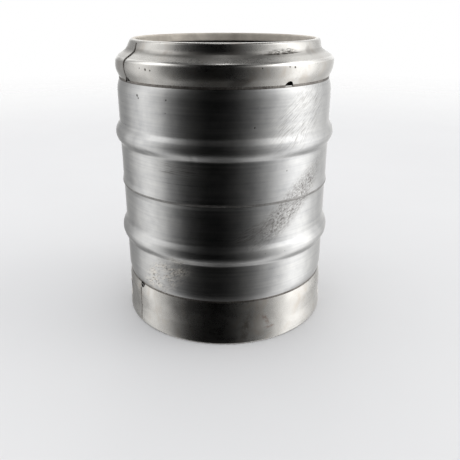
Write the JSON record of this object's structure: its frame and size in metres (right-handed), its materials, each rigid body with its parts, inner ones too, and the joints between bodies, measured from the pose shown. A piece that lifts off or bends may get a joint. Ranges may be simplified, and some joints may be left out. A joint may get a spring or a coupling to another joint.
{
  "type": "beer keg",
  "caption": "Stainless steel beer keg with rolling hoops, stepped foot ring, head chime with handholds and a spring-loaded spear valve; standing inverted on its head chime.",
  "frame": {"origin": "centre of the head chime's rim, in the plane that the keg rests on; the keg stands inverted, on its head chime, as in the picture", "axes": "+Z along the keg's axis, from the head chime up to the foot ring; the valve neck opens towards -Z; the two handholds face +X and -X"},
  "size_m": [0.4152, 0.4152, 0.532],
  "materials": {
    "shell_steel": "satin, brushed around, worn and scuffed",
    "chime_steel": "dull mottled satin, scuffed",
    "weld_bead": "fine ripple, heat tinted",
    "neck_steel": "turned, satin",
    "spear_steel": "smooth drawn",
    "spring_steel": "drawn wire",
    "ball_steel": "polished",
    "seal_rubber": "matt black"
  },
  "bodies": {
    "keg": {"foot_half_shell": "shell_steel", "head_half_shell": "shell_steel", "girth_weld": "weld_bead", "foot_ring": "chime_steel", "foot_ring_weld": "weld_bead", "foot_ring_seam": "weld_bead", "head_chime": "chime_steel", "head_chime_weld": "weld_bead", "head_chime_seam": "weld_bead", "valve_neck": "neck_steel", "neck_weld": "weld_bead", "spear_housing": "spear_steel", "neck_seal": "seal_rubber", "retaining_ring": "spring_steel", "spring_retainer": "spear_steel", "gas_spring": "spring_steel"},
    "gas_valve": {"gas_seal": "seal_rubber", "stem_head": "spear_steel", "siphon_tube": "spear_steel", "spring_seat": "spear_steel", "ball_spring": "spring_steel"},
    "ball": {"beer_ball": "ball_steel"}
  },
  "joints": [
    {"name": "gas_valve_slide", "type": "slide", "parent": "keg", "child": "gas_valve", "axis": [0, 0, 1], "range_m": [0, 0.007], "stiffness_N_per_m": 3500, "springref_m": -0.02, "deforming": ["gas_spring"]},
    {"name": "beer_ball_slide", "type": "slide", "parent": "gas_valve", "child": "ball", "axis": [0, 0, 1], "range_m": [0, 0.005], "stiffness_N_per_m": 300, "springref_m": -0.012, "deforming": ["ball_spring"]}
  ]
}
